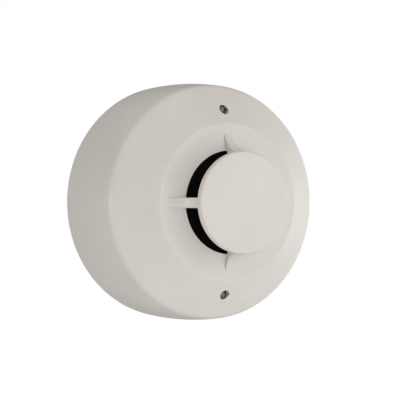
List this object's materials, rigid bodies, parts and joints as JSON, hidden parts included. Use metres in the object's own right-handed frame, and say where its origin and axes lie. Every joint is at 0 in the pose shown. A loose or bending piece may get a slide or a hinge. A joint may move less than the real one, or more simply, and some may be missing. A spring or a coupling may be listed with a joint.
{
  "type": "heat detector",
  "caption": "Round plug-in heat detector: deep drum cover with sloping shoulder, round guard disc on ribs over a black air gap, indicator windows and a bayonet wall base.",
  "frame": {"origin": "centre of the mounting base's back face, in the wall plane, on the detector's axis", "axes": "+Y into the wall, so the guard faces -Y; +Z towards the upper indicator window; +X to the right seen from the front"},
  "size_m": [0.1022, 0.0614, 0.1022],
  "materials": {
    "cover_plastic": "fine satin moulded warm off-white",
    "base_plastic": "moulded warm off-white, slightly duller",
    "black_plastic": "matt black moulded",
    "smoked_lens": "smoked clear light pipe",
    "led_resin": "red tinted clear resin",
    "board_fibreglass": "green solder mask",
    "epoxy_black": "black epoxy",
    "can_sleeve": "dark blue sleeve",
    "disc_coating": "blue dipped coating",
    "reed_glass": "greenish clear glass",
    "dial_plastic": "ivory moulded",
    "plated_brass": "nickel plated, bright",
    "screw_steel": "zinc plated"
  },
  "bodies": {
    "base": {"mounting_base": "base_plastic", "terminal_spring_1": "plated_brass", "clamp_plate_1": "plated_brass", "terminal_screw_1": "screw_steel", "terminal_spring_2": "plated_brass", "clamp_plate_2": "plated_brass", "terminal_screw_2": "screw_steel", "terminal_spring_3": "plated_brass", "clamp_plate_3": "plated_brass", "terminal_screw_3": "screw_steel", "terminal_spring_4": "plated_brass", "clamp_plate_4": "plated_brass", "terminal_screw_4": "screw_steel"},
    "head": {"outer_cover": "cover_plastic", "sensor_guard": "cover_plastic", "chamber_liner": "black_plastic", "thermistor_post": "black_plastic", "thermistor": "epoxy_black", "light_pipe_upper": "smoked_lens", "light_pipe_lower": "smoked_lens", "indicator_led_upper": "led_resin", "indicator_led_lower": "led_resin", "circuit_board": "board_fibreglass", "microcontroller": "epoxy_black", "filter_capacitor": "can_sleeve", "surge_suppressor": "disc_coating", "reed_switch": "reed_glass", "reference_thermistor": "epoxy_black", "head_chassis": "base_plastic", "rotary_switch_tens": "epoxy_black", "rotary_switch_units": "epoxy_black", "contact_blade_1": "plated_brass", "contact_blade_2": "plated_brass", "contact_blade_3": "plated_brass", "contact_blade_4": "plated_brass", "board_screw_1": "screw_steel", "cover_screw_1": "screw_steel", "board_screw_2": "screw_steel", "cover_screw_2": "screw_steel", "board_screw_3": "screw_steel", "cover_screw_3": "screw_steel"},
    "dial_tens": {"address_dial_tens": "dial_plastic"},
    "dial_units": {"address_dial_units": "dial_plastic"}
  },
  "joints": [
    {"name": "head_twist", "type": "hinge", "parent": "base", "child": "head", "pos_m": [0, 0, 0], "axis": [0, -1, 0], "range_deg": [0, 20]},
    {"name": "dial_tens_turn", "type": "hinge", "parent": "head", "child": "dial_tens", "pos_m": [-0.008, -0.015, 0], "axis": [0, 1, 0], "range_deg": [0, 324]},
    {"name": "dial_units_turn", "type": "hinge", "parent": "head", "child": "dial_units", "pos_m": [0.008, -0.015, 0], "axis": [0, 1, 0], "range_deg": [0, 324]}
  ]
}
